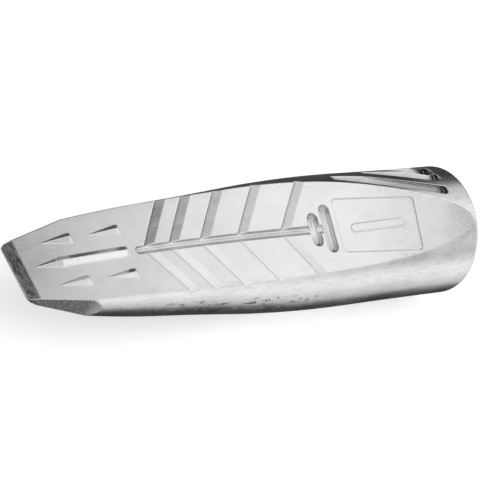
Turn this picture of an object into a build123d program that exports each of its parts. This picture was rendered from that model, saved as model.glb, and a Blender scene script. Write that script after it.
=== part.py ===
from build123d import *
from math import cos, radians, sin, tan
import os

os.makedirs("parts", exist_ok=True)

# Twisted splitting wedge. X runs from the cutting edge to the striking head, Y runs
# along the cutting edge and Z is up. Sizes are in mm and angles in degrees.

# wedge: overall form
LENGTH = 220.0
TWIST = 30.9
TWIST_EASE = 1.65
HEAD_RADIUS = 27.75
NOSE_RADIUS = 17.3
FLANK_BARREL = 3.0
FLANK_SHOULDER = 1.5
SHOULDER_START = 78.0
SHOULDER_END = 192.0
FACE_AT_EDGE = 1.5
FACE_AT_HEAD = 28.1
FACE_CROWN = 7.0
RIM_ROUND = 1.6

# wedge: cutting edge and nose taper
EDGE_LAND = 0.5
BEVEL_LENGTH = 4.3
EDGE_HALF_WIDTH = 13.5
NOSE_TAPER = 12.0
NOSE_TILT = 6.0
EDGE_CORNER = 2.6

# wedge: splitting barbs on each face
BARB_LENGTH = 11.8
BARB_HALF_WIDTH = 2.35
BARB_HEIGHT = 1.9
BARB_END_SLOPE = 1.5
BARB_SPREAD = 10.1
BARB_TIPS = (15.2, 36.1)
RIDGE_TIP = 9.2
RIDGE_SHOULDER = 19.8
RIDGE_END = 48.0

# wedge: gripping notches on each face
NOTCH_COUNT = 5
NOTCH_START = 55.7
NOTCH_PITCH = 11.3
NOTCH_PITCH_GROWTH = 3.1
NOTCH_LEAN = 33.0
NOTCH_WIDTH = 4.9
NOTCH_DEPTH = 1.1

# wedge: centre groove and cross slots on each face
GROOVE_RADIUS = 1.8
GROOVE_START = 52.4
SLOT_WIDTH = 5.2
SLOT_DEPTH = 2.2
SLOT_ROUND = 1.9
SHORT_SLOT_X = 136.8
SHORT_SLOT_LENGTH = 14.4
LONG_SLOT_X = 143.3
LONG_SLOT_LENGTH = 20.8

# wedge: plate recess and plain bar on each face
PLATE_X = 168.3
PLATE_LENGTH = 40.4
PLATE_WIDTH = 23.4
PLATE_CORNER = 2.0
PLATE_DRIFT = (1.0, -0.5)
PLATE_DEPTH = 0.5
BAR_LENGTH = 27.0
BAR_WIDTH = 3.4
BAR_HEIGHT = 0.35

# wedge: flutes on one flank beside each face, as start and end positions
FLUTE_WIDTH = 3.9
FLUTE_DEPTH = 2.8
FLUTES = (
    (162.5, 36.0, 207.5, 57.0),
    (183.0, 24.0, 209.0, 37.0),
    (196.0, 11.0, 210.0, 18.0),
)

# socket, hardwood insert and steel ring
SOCKET_RADIUS = 16.0
SOCKET_DEPTH = 50.0
COUNTERBORE_RADIUS = 20.0
COUNTERBORE_DEPTH = 13.0
INSERT_PROUD = 1.0
RUNNING_GAP = 0.05
RING_HEIGHT = 12.0
RING_SETBACK = 0.5

STATIONS = [LENGTH * step / 10 for step in range(-1, 12)]
LEFT_AND_RIGHT = (-1, 1)


def twist_at(x):
    run = x / LENGTH
    return radians(TWIST * run + TWIST_EASE * 4 * run * (1 - run))


def face_height(x):
    run = x / LENGTH
    return FACE_AT_EDGE + (FACE_AT_HEAD - FACE_AT_EDGE) * run + FACE_CROWN * run * (1 - run) ** 2


def flank_radius(x):
    run = x / LENGTH
    return NOSE_RADIUS + (HEAD_RADIUS - NOSE_RADIUS) * run + FLANK_BARREL * 4 * run * (1 - run)


def shoulder_at(x):
    run = (x - SHOULDER_START) / (SHOULDER_END - SHOULDER_START)
    if run <= 0 or run >= 1:
        return 0.0
    return FLANK_SHOULDER * (4 * run * (1 - run)) ** 1.5


def across(x):
    return Vector(0, cos(twist_at(x)), sin(twist_at(x)))


def outward(x):
    return Vector(0, -sin(twist_at(x)), cos(twist_at(x)))


def on_face(x, side, lift=0.0):
    return Vector(x, 0, 0) + across(x) * side + outward(x) * (face_height(x) + lift)


def section_plane(x, extra_turn=0.0):
    turn = twist_at(x) + radians(extra_turn)
    return Plane(origin=(x, 0, 0), x_dir=(0, cos(turn), sin(turn)), z_dir=(1, 0, 0))


def profile_plane(x, side):
    ahead = (on_face(x + 1, side) - on_face(x, side)).normalized()
    upright = ahead.cross(across(x)).normalized()
    return Plane(origin=on_face(x, side), x_dir=ahead, z_dir=ahead.cross(upright))


def face_plane(x, lift):
    return Plane(origin=on_face(x, 0, lift), x_dir=(1, 0, 0), z_dir=outward(x))


def twisted_slab(inset):
    with BuildPart() as slab:
        for x in STATIONS:
            with BuildSketch(section_plane(x)):
                Rectangle(110, 2 * (max(face_height(x), 0.4) - inset))
        loft()
    return slab.part


def flank_point(x, angle, depth):
    turn = twist_at(x) + radians(angle)
    reach = flank_radius(x) - depth
    return Vector(x, reach * cos(turn), reach * sin(turn))


def spike(side, tip_x, full_x, end_x):
    spine = 1.2
    run = end_x - full_x
    stops = [(tip_x, 0.04, 0.04)]
    stops += [(full_x + run * step / 4, 1.0, 1.0) for step in range(5 if run else 1)]
    stops += [(end_x + BARB_END_SLOPE, 1.0, 0.04)]
    with BuildPart() as body:
        for x, width, height in stops:
            half = BARB_HALF_WIDTH * width
            top = spine + BARB_HEIGHT * height
            with BuildSketch(Plane(origin=on_face(x, side, -spine), x_dir=across(x), z_dir=(1, 0, 0))):
                with BuildLine():
                    Polyline((-half, 0), (-half, spine), (0, top), (half, spine), (half, 0), close=True)
                make_face()
        loft(ruled=True)
    return body.part


def notch(x, hand):
    slope = NOTCH_DEPTH / NOTCH_WIDTH
    clear = 2.0
    with BuildPart() as cutter:
        for side in (0.0, 9.0, 18.0, 27.0):
            at = x + side * tan(radians(NOTCH_LEAN))
            with BuildSketch(profile_plane(at, hand * side)):
                with BuildLine():
                    Polyline((0.2, -NOTCH_DEPTH), (NOTCH_WIDTH + clear / slope, clear),
                             (-0.3, clear), close=True)
                make_face()
        loft(ruled=True)
    return cutter.part


def cross_slot(x, length):
    with BuildPart() as cutter:
        with BuildSketch(face_plane(x, 3)):
            SlotOverall(length, SLOT_WIDTH, rotation=90)
        extrude(amount=-3 - SLOT_DEPTH)
        fillet(cutter.faces().sort_by(Axis(face_plane(x, 0).origin, outward(x)))[0].edges(), SLOT_ROUND)
    return cutter.part


def centre_groove():
    first = GROOVE_START + GROOVE_RADIUS
    stops = [first + (LONG_SLOT_X + 0.6 - first) * step / 8 for step in range(9)]
    with BuildPart() as cutter:
        with BuildLine() as path:
            Spline(*[on_face(x, 0, 0.1) for x in stops])
        with BuildSketch(Plane(origin=path.line @ 0, z_dir=path.line % 0)):
            Circle(GROOVE_RADIUS)
        sweep()
        with Locations(path.line @ 0):
            Sphere(GROOVE_RADIUS)
    return cutter.part


def flute(start_x, start_angle, end_x, end_angle):
    start = flank_point(start_x, start_angle, 0)
    end = flank_point(end_x, end_angle, FLUTE_DEPTH)
    along = (end - start).normalized()
    sideways = across(end_x)
    up = along.cross(sideways).normalized()
    with BuildPart() as cutter:
        with BuildSketch(Plane(origin=end, x_dir=along, z_dir=up)):
            Circle(FLUTE_WIDTH / 2)
            with Locations((-(end - start).length / 2 - 4, 0)):
                Rectangle((end - start).length + 8, FLUTE_WIDTH)
        extrude(amount=24)
    return cutter.part


def both_faces(shape):
    return (shape, shape.rotate(Axis.X, 180))


# solid blanks that bound the wedge
with BuildPart() as flanks:
    for x in STATIONS:
        with BuildSketch(section_plane(x, 39)):
            Ellipse(flank_radius(x) + shoulder_at(x), flank_radius(x))
    loft()

with BuildPart() as plan_outline:
    with BuildSketch(Plane.XY):
        side_reach = EDGE_HALF_WIDTH + 100 * tan(radians(NOSE_TAPER))
        with BuildLine():
            Polyline((0, -EDGE_HALF_WIDTH), (100, -side_reach), (LENGTH, -side_reach),
                     (LENGTH, side_reach), (100, side_reach), (0, EDGE_HALF_WIDTH), close=True)
        make_face()
    extrude(amount=60, both=True)
    fillet(plan_outline.edges().filter_by(Axis.Z).group_by(Axis.X)[0], EDGE_CORNER)

with BuildPart() as side_profile:
    bevel_rise = (face_height(BEVEL_LENGTH) - EDGE_LAND / 2) / BEVEL_LENGTH
    with BuildSketch(Plane.XZ):
        with BuildLine():
            Polyline((0, -EDGE_LAND / 2), (60, -EDGE_LAND / 2 - 60 * bevel_rise), (LENGTH + 5, -40),
                     (LENGTH + 5, 40), (60, EDGE_LAND / 2 + 60 * bevel_rise), (0, EDGE_LAND / 2), close=True)
        make_face()
    extrude(amount=80, both=True)

full_slab = twisted_slab(0)
plate_slab = twisted_slab(PLATE_DEPTH)
bar_slab = twisted_slab(PLATE_DEPTH - BAR_HEIGHT)

with BuildPart() as plate_recess:
    corners = []
    for end, drift in zip(LEFT_AND_RIGHT, PLATE_DRIFT):
        for hand in (end, -end):
            corner = on_face(PLATE_X + end * PLATE_LENGTH / 2, drift + hand * PLATE_WIDTH / 2)
            spot = face_plane(PLATE_X, 8).to_local_coords(corner)
            corners.append((spot.X, spot.Y))
    with BuildSketch(face_plane(PLATE_X, 8)):
        with BuildLine():
            Polyline(*corners, close=True)
        make_face()
        fillet(vertices(), PLATE_CORNER)
    extrude(amount=-16)
    add(plate_slab, mode=Mode.SUBTRACT)

with BuildPart() as plain_bar:
    with BuildSketch(face_plane(PLATE_X, 4)):
        SlotOverall(BAR_LENGTH, BAR_WIDTH)
    extrude(amount=-7)
    add(bar_slab, mode=Mode.INTERSECT)

# twisted aluminium wedge
with BuildPart() as wedge_body:
    add(flanks.part)
    add(full_slab, mode=Mode.INTERSECT)
    add(plan_outline.part.rotate(Axis.X, NOSE_TILT), mode=Mode.INTERSECT)
    add(side_profile.part, mode=Mode.INTERSECT)
    fillet(wedge_body.faces().sort_by(Axis.X)[-1].edges(), RIM_ROUND)
    for slot_x, slot_length in ((SHORT_SLOT_X, SHORT_SLOT_LENGTH), (LONG_SLOT_X, LONG_SLOT_LENGTH)):
        for cutter in both_faces(cross_slot(slot_x, slot_length)):
            add(cutter, mode=Mode.SUBTRACT)
    for cutter in both_faces(centre_groove()):
        add(cutter, mode=Mode.SUBTRACT)
    for tip_x in BARB_TIPS:
        for hand in LEFT_AND_RIGHT:
            for barb in both_faces(spike(hand * BARB_SPREAD, tip_x, tip_x + BARB_LENGTH, tip_x + BARB_LENGTH)):
                add(barb)
    for ridge in both_faces(spike(0, RIDGE_TIP, RIDGE_SHOULDER, RIDGE_END)):
        add(ridge)
    for cutter in both_faces(plate_recess.part):
        add(cutter, mode=Mode.SUBTRACT)
    for bar in both_faces(plain_bar.part):
        add(bar)
    notch_x = NOTCH_START
    for number in range(NOTCH_COUNT):
        for hand in LEFT_AND_RIGHT:
            for cutter in both_faces(notch(notch_x, hand)):
                add(cutter, mode=Mode.SUBTRACT)
        notch_x += NOTCH_PITCH + NOTCH_PITCH_GROWTH * number
    for place in FLUTES:
        for cutter in both_faces(flute(*place)):
            add(cutter, mode=Mode.SUBTRACT)
    with BuildSketch(Plane.YZ.offset(LENGTH)):
        Circle(SOCKET_RADIUS)
    extrude(amount=-SOCKET_DEPTH, mode=Mode.SUBTRACT)
    with BuildSketch(Plane.YZ.offset(LENGTH)):
        Circle(COUNTERBORE_RADIUS)
    extrude(amount=-COUNTERBORE_DEPTH, mode=Mode.SUBTRACT)
wedge_body.part.label = "wedge_body"
export_step(wedge_body.part, "parts/wedge_body.step")

# hardwood insert that takes the mallet blows
with BuildPart() as hardwood_insert:
    with BuildSketch(Plane.YZ.offset(LENGTH - SOCKET_DEPTH)):
        Circle(SOCKET_RADIUS - RUNNING_GAP)
    extrude(amount=SOCKET_DEPTH + INSERT_PROUD)
    chamfer(hardwood_insert.edges().filter_by(GeomType.CIRCLE), 0.8)
hardwood_insert.part.label = "hardwood_insert"
export_step(hardwood_insert.part, "parts/hardwood_insert.step")

# steel ring that keeps the struck end of the insert from splitting
with BuildPart() as steel_ring:
    with BuildSketch(Plane.YZ.offset(LENGTH - RING_SETBACK)):
        Circle(COUNTERBORE_RADIUS - RUNNING_GAP)
        Circle(SOCKET_RADIUS - RUNNING_GAP, mode=Mode.SUBTRACT)
    extrude(amount=-RING_HEIGHT)
    chamfer(steel_ring.edges().filter_by(GeomType.CIRCLE).group_by(Axis.X)[-1], 0.5)
steel_ring.part.label = "steel_ring"
export_step(steel_ring.part, "parts/steel_ring.step")
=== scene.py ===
import bpy
from mathutils import Matrix, Vector


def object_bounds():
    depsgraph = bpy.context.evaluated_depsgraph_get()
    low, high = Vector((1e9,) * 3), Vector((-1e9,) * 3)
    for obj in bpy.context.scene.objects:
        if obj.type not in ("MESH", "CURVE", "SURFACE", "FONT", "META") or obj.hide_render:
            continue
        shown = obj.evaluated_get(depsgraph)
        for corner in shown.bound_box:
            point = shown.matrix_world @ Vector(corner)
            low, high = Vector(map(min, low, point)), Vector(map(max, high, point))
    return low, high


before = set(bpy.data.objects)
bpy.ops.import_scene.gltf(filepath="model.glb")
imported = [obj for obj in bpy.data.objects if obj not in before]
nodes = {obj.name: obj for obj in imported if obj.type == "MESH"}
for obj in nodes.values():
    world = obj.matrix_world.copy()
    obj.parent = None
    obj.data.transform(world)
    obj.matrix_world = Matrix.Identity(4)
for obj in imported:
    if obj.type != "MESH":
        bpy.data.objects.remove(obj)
cad_low, cad_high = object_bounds()

scene = bpy.context.scene

# places on the wedge in metres, +X running from the cutting edge to the head
BEVEL_END = (0.0052, 0.0040)
NOSE_FACET_END = (0.031, 0.024)
NOSE_HALF_WIDTH = (0.0135, 0.02413)
NOSE_LENGTH = 0.05
NOSE_TILT_COS, NOSE_TILT_SIN = 0.9945, 0.1045
BODY_RADIUS = (0.0175, 0.0285)
BODY_LENGTH = 0.15


# ---------------------------------------------------------------- node helpers
def new_material(name):
    material = bpy.data.materials.new(name)
    material.use_nodes = True
    tree = material.node_tree
    return material, tree, tree.nodes["Principled BSDF"]


def link(tree, source, target):
    tree.links.new(source, target)


def noise(tree, coords, scale, detail=4.0, rough=0.55, distortion=0.0):
    node = tree.nodes.new("ShaderNodeTexNoise")
    node.inputs["Scale"].default_value = scale
    node.inputs["Detail"].default_value = detail
    node.inputs["Roughness"].default_value = rough
    node.inputs["Distortion"].default_value = distortion
    link(tree, coords, node.inputs["Vector"])
    return node.outputs["Fac"]


def remap(tree, value, low, high, to_low=0.0, to_high=1.0, smooth=True):
    node = tree.nodes.new("ShaderNodeMapRange")
    node.interpolation_type = "SMOOTHSTEP" if smooth else "LINEAR"
    node.inputs["From Min"].default_value = low
    node.inputs["From Max"].default_value = high
    node.inputs["To Min"].default_value = to_low
    node.inputs["To Max"].default_value = to_high
    link(tree, value, node.inputs["Value"])
    return node.outputs["Result"]


def maths(tree, operation, first, second):
    node = tree.nodes.new("ShaderNodeMath")
    node.operation = operation
    for socket, value in zip(node.inputs, (first, second)):
        if isinstance(value, (int, float)):
            socket.default_value = value
        else:
            link(tree, value, socket)
    return node.outputs[0]


def mix_colour(tree, factor, first, second):
    node = tree.nodes.new("ShaderNodeMix")
    node.data_type = "RGBA"
    link(tree, factor, node.inputs["Factor"])
    for socket, value in ((node.inputs[6], first), (node.inputs[7], second)):
        if isinstance(value, tuple):
            socket.default_value = (*value, 1.0)
        else:
            link(tree, value, socket)
    return node.outputs[2]


def scaled_coords(tree, scale):
    coords = tree.nodes.new("ShaderNodeTexCoord")
    mapping = tree.nodes.new("ShaderNodeMapping")
    mapping.inputs["Scale"].default_value = scale
    link(tree, coords.outputs["Object"], mapping.inputs["Vector"])
    return mapping.outputs["Vector"]


def bump(tree, height, strength, distance, normal=None):
    node = tree.nodes.new("ShaderNodeBump")
    node.inputs["Strength"].default_value = strength
    node.inputs["Distance"].default_value = distance
    link(tree, height, node.inputs["Height"])
    if normal is not None:
        link(tree, normal, node.inputs["Normal"])
    return node.outputs["Normal"]


def rounded_edges(tree, radius):
    node = tree.nodes.new("ShaderNodeBevel")
    node.samples = 8
    node.inputs["Radius"].default_value = radius
    return node.outputs["Normal"]


# ambient occlusion mask, used to paint shade into recesses and creases
def crevice_shade(tree, distance):
    node = tree.nodes.new("ShaderNodeAmbientOcclusion")
    node.samples = 6
    node.only_local = True
    node.inputs["Distance"].default_value = distance
    return node.outputs["AO"]


# mask for a painted highlight along sharp edges
def edge_highlight_mask(tree, rounded):
    """1 where the rounded normal leaves the flat one, which is along sharp edges."""
    geometry = tree.nodes.new("ShaderNodeNewGeometry")
    dot = tree.nodes.new("ShaderNodeVectorMath")
    dot.operation = "DOT_PRODUCT"
    link(tree, rounded, dot.inputs[0])
    link(tree, geometry.outputs["Normal"], dot.inputs[1])
    return remap(tree, dot.outputs["Value"], 0.985, 0.88)


# ---------------------------------------------------------------- materials
def wedge_zones(tree):
    """Masks for the round flanks, the ground bevel and nose facets, and the pitted strip."""
    coords = tree.nodes.new("ShaderNodeTexCoord")
    parts = tree.nodes.new("ShaderNodeSeparateXYZ")
    link(tree, coords.outputs["Object"], parts.inputs["Vector"])
    x, y, z = parts.outputs["X"], parts.outputs["Y"], parts.outputs["Z"]
    radius = maths(tree, "POWER", maths(tree, "ADD", maths(tree, "MULTIPLY", y, y),
                                        maths(tree, "MULTIPLY", z, z)), 0.5)
    full_radius = remap(tree, x, 0.0, BODY_LENGTH, *BODY_RADIUS, smooth=False)
    flank = remap(tree, maths(tree, "DIVIDE", radius, full_radius), 0.90, 0.97)

    bevel = remap(tree, x, *BEVEL_END)
    sideways = maths(tree, "ADD", maths(tree, "MULTIPLY", y, NOSE_TILT_COS),
                     maths(tree, "MULTIPLY", z, NOSE_TILT_SIN))
    nose_width = remap(tree, x, 0.0, NOSE_LENGTH, *NOSE_HALF_WIDTH, smooth=False)
    beside = maths(tree, "SUBTRACT", maths(tree, "ABSOLUTE", sideways, 0.0), nose_width)
    facet = maths(tree, "MULTIPLY", remap(tree, beside, -0.0004, -0.0001),
                  remap(tree, x, *NOSE_FACET_END, 0.0, 0.9))
    ground = maths(tree, "MAXIMUM", bevel, facet)

    low_band = maths(tree, "MULTIPLY", remap(tree, z, 0.0015, -0.0010), remap(tree, z, -0.0090, -0.0050))
    near_side = maths(tree, "MULTIPLY", low_band, remap(tree, y, -0.012, -0.018))
    middle = maths(tree, "MULTIPLY", remap(tree, x, 0.055, 0.075), remap(tree, x, 0.150, 0.125))
    return flank, ground, maths(tree, "MULTIPLY", near_side, middle)


def forged_aluminium():
    material, tree, shader = new_material("forged_aluminium")
    even = scaled_coords(tree, (1.0, 1.0, 1.0))
    lengthwise = scaled_coords(tree, (0.25, 1.0, 1.0))
    flank, ground, pit_zone = wedge_zones(tree)
    rounded = rounded_edges(tree, 0.0006)
    # edge mask for the painted highlight
    painted_edge_highlight = edge_highlight_mask(tree, rounded)
    # painted shade: near black where ambient occlusion finds a recess (hollow) or a tight crease
    hollow_shade = remap(tree, crevice_shade(tree, 0.0050), 0.30, 0.80)
    crease_shade = remap(tree, crevice_shade(tree, 0.0014), 0.45, 0.80, 0.06, 1.0)

    # patterns: soft clouds, blotches, fine grain, lines drawn lengthwise, grinding scores, specks, pits
    cloud = noise(tree, even, 42.0, 5.0, 0.62)
    blotch = noise(tree, even, 160.0, 4.0, 0.65)
    grain = noise(tree, even, 1500.0, 3.0, 0.65)
    draw = noise(tree, lengthwise, 900.0, 5.0, 0.7)
    scores = noise(tree, scaled_coords(tree, (1.0, 0.25, 1.0)), 1300.0, 4.0, 0.7)
    speck = remap(tree, noise(tree, even, 520.0, 2.0, 0.7), 0.70, 0.76)
    pits = remap(tree, noise(tree, scaled_coords(tree, (0.4, 1.0, 1.0)), 620.0, 3.0, 0.75), 0.57, 0.62)
    pitted = maths(tree, "MULTIPLY", pits, pit_zone)

    # colour: bright metal, dulled by the patterns, with painted shade in the hollows and a painted
    # highlight along the edges
    tone = mix_colour(tree, remap(tree, cloud, 0.35, 0.68), (0.84, 0.84, 0.845), (0.94, 0.94, 0.94))
    tone = mix_colour(tree, remap(tree, blotch, 0.52, 0.78, 0.0, 0.35), tone, (0.74, 0.74, 0.75))
    streak = maths(tree, "MULTIPLY", remap(tree, draw, 0.46, 0.70, 0.0, 0.45), flank)
    tone = mix_colour(tree, streak, tone, (0.60, 0.60, 0.61))
    tone = mix_colour(tree, maths(tree, "MULTIPLY", speck, 0.35), tone, (0.45, 0.45, 0.46))
    # grinding scores on the ground bevel and nose facets, painted far darker than the metal: partly real
    # scoring, partly painted shade
    scored_and_shaded = mix_colour(tree, remap(tree, scores, 0.36, 0.64), (0.10, 0.10, 0.103),
                        (0.48, 0.48, 0.49))
    tone = mix_colour(tree, ground, tone, scored_and_shaded)
    tone = mix_colour(tree, pitted, tone, (0.10, 0.10, 0.105))
    # painted shade darkens the hollows and creases
    tone = mix_colour(tree, hollow_shade, (0.04, 0.04, 0.042), tone)
    tone = mix_colour(tree, crease_shade, (0.05, 0.05, 0.052), tone)
    # painted highlight: sharp edges lightened towards white
    tone = mix_colour(tree, maths(tree, "MULTIPLY", painted_edge_highlight, 0.8), tone, (1.0, 1.0, 1.0))
    link(tree, tone, shader.inputs["Base Color"])
    # the painted edge highlight is less metallic, so it stays bright whatever it reflects
    link(tree, remap(tree, painted_edge_highlight, 0.0, 1.0, 1.0, 0.7), shader.inputs["Metallic"])

    rough = remap(tree, cloud, 0.3, 0.7, 0.20, 0.28)
    rough = maths(tree, "ADD", rough, maths(tree, "MULTIPLY", draw, 0.05))
    rough = maths(tree, "ADD", rough, maths(tree, "MULTIPLY", ground, 0.15))
    link(tree, rough, shader.inputs["Roughness"])

    normal = bump(tree, grain, 0.30, 0.00006, rounded)
    normal = bump(tree, draw, 0.25, 0.00010, normal)
    normal = bump(tree, noise(tree, even, 110.0, 3.0, 0.5), 0.20, 0.0006, normal)
    normal = bump(tree, maths(tree, "SUBTRACT", 1.0, pitted), 0.6, 0.0003, normal)
    link(tree, normal, shader.inputs["Normal"])
    return material


def oiled_hardwood():
    material, tree, shader = new_material("oiled_hardwood")
    rings_coords = scaled_coords(tree, (0.35, 1.0, 1.0))
    rings = tree.nodes.new("ShaderNodeTexWave")
    rings.wave_type = "RINGS"
    rings.rings_direction = "X"
    rings.inputs["Scale"].default_value = 95.0
    rings.inputs["Distortion"].default_value = 2.2
    rings.inputs["Detail"].default_value = 3.0
    rings.inputs["Detail Scale"].default_value = 18.0
    link(tree, rings_coords, rings.inputs["Vector"])
    pores = noise(tree, scaled_coords(tree, (0.08, 1.0, 1.0)), 1500.0, 2.0, 0.6)
    wear = noise(tree, scaled_coords(tree, (1.0, 1.0, 1.0)), 70.0, 4.0, 0.6)
    tone = mix_colour(tree, rings.outputs["Fac"], (0.33, 0.19, 0.09), (0.58, 0.39, 0.22))
    tone = mix_colour(tree, remap(tree, pores, 0.62, 0.72), tone, (0.17, 0.09, 0.045))
    tone = mix_colour(tree, remap(tree, wear, 0.55, 0.75), tone, (0.44, 0.31, 0.19))
    link(tree, tone, shader.inputs["Base Color"])
    link(tree, remap(tree, wear, 0.3, 0.7, 0.42, 0.62), shader.inputs["Roughness"])
    normal = bump(tree, pores, 0.35, 0.0001, rounded_edges(tree, 0.0004))
    normal = bump(tree, rings.outputs["Fac"], 0.2, 0.00015, normal)
    link(tree, normal, shader.inputs["Normal"])
    return material


def turned_steel():
    material, tree, shader = new_material("turned_steel")
    even = scaled_coords(tree, (1.0, 1.0, 1.0))
    turning = noise(tree, scaled_coords(tree, (1.0, 0.12, 0.12)), 2400.0, 3.0, 0.6)
    stain = noise(tree, even, 60.0, 5.0, 0.65)
    tone = mix_colour(tree, remap(tree, stain, 0.45, 0.8), (0.60, 0.60, 0.61), (0.38, 0.35, 0.32))
    link(tree, tone, shader.inputs["Base Color"])
    shader.inputs["Metallic"].default_value = 1.0
    link(tree, remap(tree, stain, 0.3, 0.75, 0.28, 0.48), shader.inputs["Roughness"])
    normal = bump(tree, turning, 0.25, 0.00006, rounded_edges(tree, 0.0003))
    normal = bump(tree, stain, 0.15, 0.0003, normal)
    link(tree, normal, shader.inputs["Normal"])
    return material


def set_material(piece, material):
    piece.data.materials.clear()
    piece.data.materials.append(material)


set_material(nodes["wedge_body"], forged_aluminium())
set_material(nodes["hardwood_insert"], oiled_hardwood())
set_material(nodes["steel_ring"], turned_steel())


# ---------------------------------------------------------------- studio
# directions towards the lights seen in the metal
SOFT_BOX_MIDDLE = (0.391, -0.801, 0.454)
FILL_MIDDLE = (-0.756, 0.604, 0.252)
RIM_MIDDLE = (0.93, -0.10, 0.35)

# light level against the cosine of the angle from the middle of the soft box
SOFT_BOX = (
    (-1.00, 0.14), (-0.60, 0.07), (-0.25, 0.03), (0.00, 0.05), (0.06, 0.30), (0.13, 0.55),
    (0.22, 0.64), (0.34, 0.64), (0.45, 0.77), (0.57, 0.92), (0.76, 0.94), (0.87, 0.42),
    (0.93, 0.30), (0.97, 1.05),
)
# the soft box loses light below this height, at this rate
LOW_LIGHT_START, LOW_LIGHT_LOSS = -0.45, 0.4
STUDIO_STRENGTH = 1.06
FLOOR_SIZE, FLOOR_GLOW = 8.0, 0.50

floor_z = cad_low[2]

bpy.ops.mesh.primitive_plane_add(size=FLOOR_SIZE, location=(0.1, 0.0, floor_z))
floor = bpy.context.object
floor.name = "studio_floor"
floor_material, floor_tree, floor_shader = new_material("studio_floor")
floor_shader.inputs["Base Color"].default_value = (0.90, 0.90, 0.90, 1.0)
floor_shader.inputs["Roughness"].default_value = 0.9
floor_shader.inputs["Emission Color"].default_value = (1.0, 1.0, 1.0, 1.0)
floor_shader.inputs["Emission Strength"].default_value = FLOOR_GLOW
set_material(floor, floor_material)
floor.visible_glossy = False

world = bpy.data.worlds.new("studio")
scene.world = world
world.use_nodes = True
sky = world.node_tree
coords = sky.nodes.new("ShaderNodeTexCoord")


def facing(direction):
    node = sky.nodes.new("ShaderNodeVectorMath")
    node.operation = "DOT_PRODUCT"
    node.inputs[1].default_value = direction
    link(sky, coords.outputs["Generated"], node.inputs[0])
    return node.outputs["Value"]


def soft_box():
    height = sky.nodes.new("ShaderNodeSeparateXYZ")
    link(sky, coords.outputs["Generated"], height.inputs["Vector"])
    below = maths(sky, "MINIMUM", maths(sky, "ADD", height.outputs["Z"], -LOW_LIGHT_START), 0.0)
    falloff = maths(sky, "ADD", facing(SOFT_BOX_MIDDLE), maths(sky, "MULTIPLY", below, LOW_LIGHT_LOSS))
    ramp = sky.nodes.new("ShaderNodeValToRGB")
    link(sky, remap(sky, falloff, -1.0, 1.0, smooth=False), ramp.inputs["Fac"])
    stops = ramp.color_ramp.elements
    for number, (cosine, level) in enumerate(SOFT_BOX):
        position = (cosine + 1) / 2
        stop = stops[number] if number < 2 else stops.new(position)
        stop.position = position
        stop.color = (level, level, level, 1.0)
    return ramp.outputs["Color"]


fill = remap(sky, facing(FILL_MIDDLE), 0.66, 0.86, 0.0, 0.75)
rim = remap(sky, facing(RIM_MIDDLE), 0.90, 0.97, 0.0, 0.85)
lights = maths(sky, "MAXIMUM", maths(sky, "MAXIMUM", soft_box(), fill), rim)
background = sky.nodes["Background"]
link(sky, lights, background.inputs["Color"])
background.inputs["Strength"].default_value = STUDIO_STRENGTH


def area_light(name, location, target, size, watts):
    data = bpy.data.lights.new(name, "AREA")
    data.shape = "DISK"
    data.size = size
    data.energy = watts
    light = bpy.data.objects.new(name, data)
    light.location = location
    aim = Vector(target) - Vector(location)
    light.rotation_euler = aim.to_track_quat("-Z", "Y").to_euler()
    scene.collection.objects.link(light)
    return light


key = area_light("key", (0.45, -0.9, 1.1), (0.12, 0.0, 0.0), 0.9, 2.0)
key.visible_glossy = False

# ---------------------------------------------------------------- camera
CAMERA_PLACE = (-0.4967, -0.4598, 0.6281)
CAMERA_RIGHT = (0.7841, -0.4462, 0.4314)
CAMERA_FORWARD = (0.6154, 0.4688, -0.6336)

camera_data = bpy.data.cameras.new("camera")
camera = bpy.data.objects.new("camera", camera_data)
scene.collection.objects.link(camera)
camera_data.sensor_width = 36.0
camera_data.lens = 180.0
camera_data.clip_start = 0.05
camera_data.clip_end = 20.0
right = Vector(CAMERA_RIGHT).normalized()
forward = Vector(CAMERA_FORWARD).normalized()
right = (right - forward * right.dot(forward)).normalized()
up = right.cross(forward)
turned = Matrix((right, up, -forward)).transposed().to_4x4()
camera.matrix_world = Matrix.Translation(CAMERA_PLACE) @ turned
scene.camera = camera

scene.view_settings.view_transform = "Standard"
scene.view_settings.look = "None"
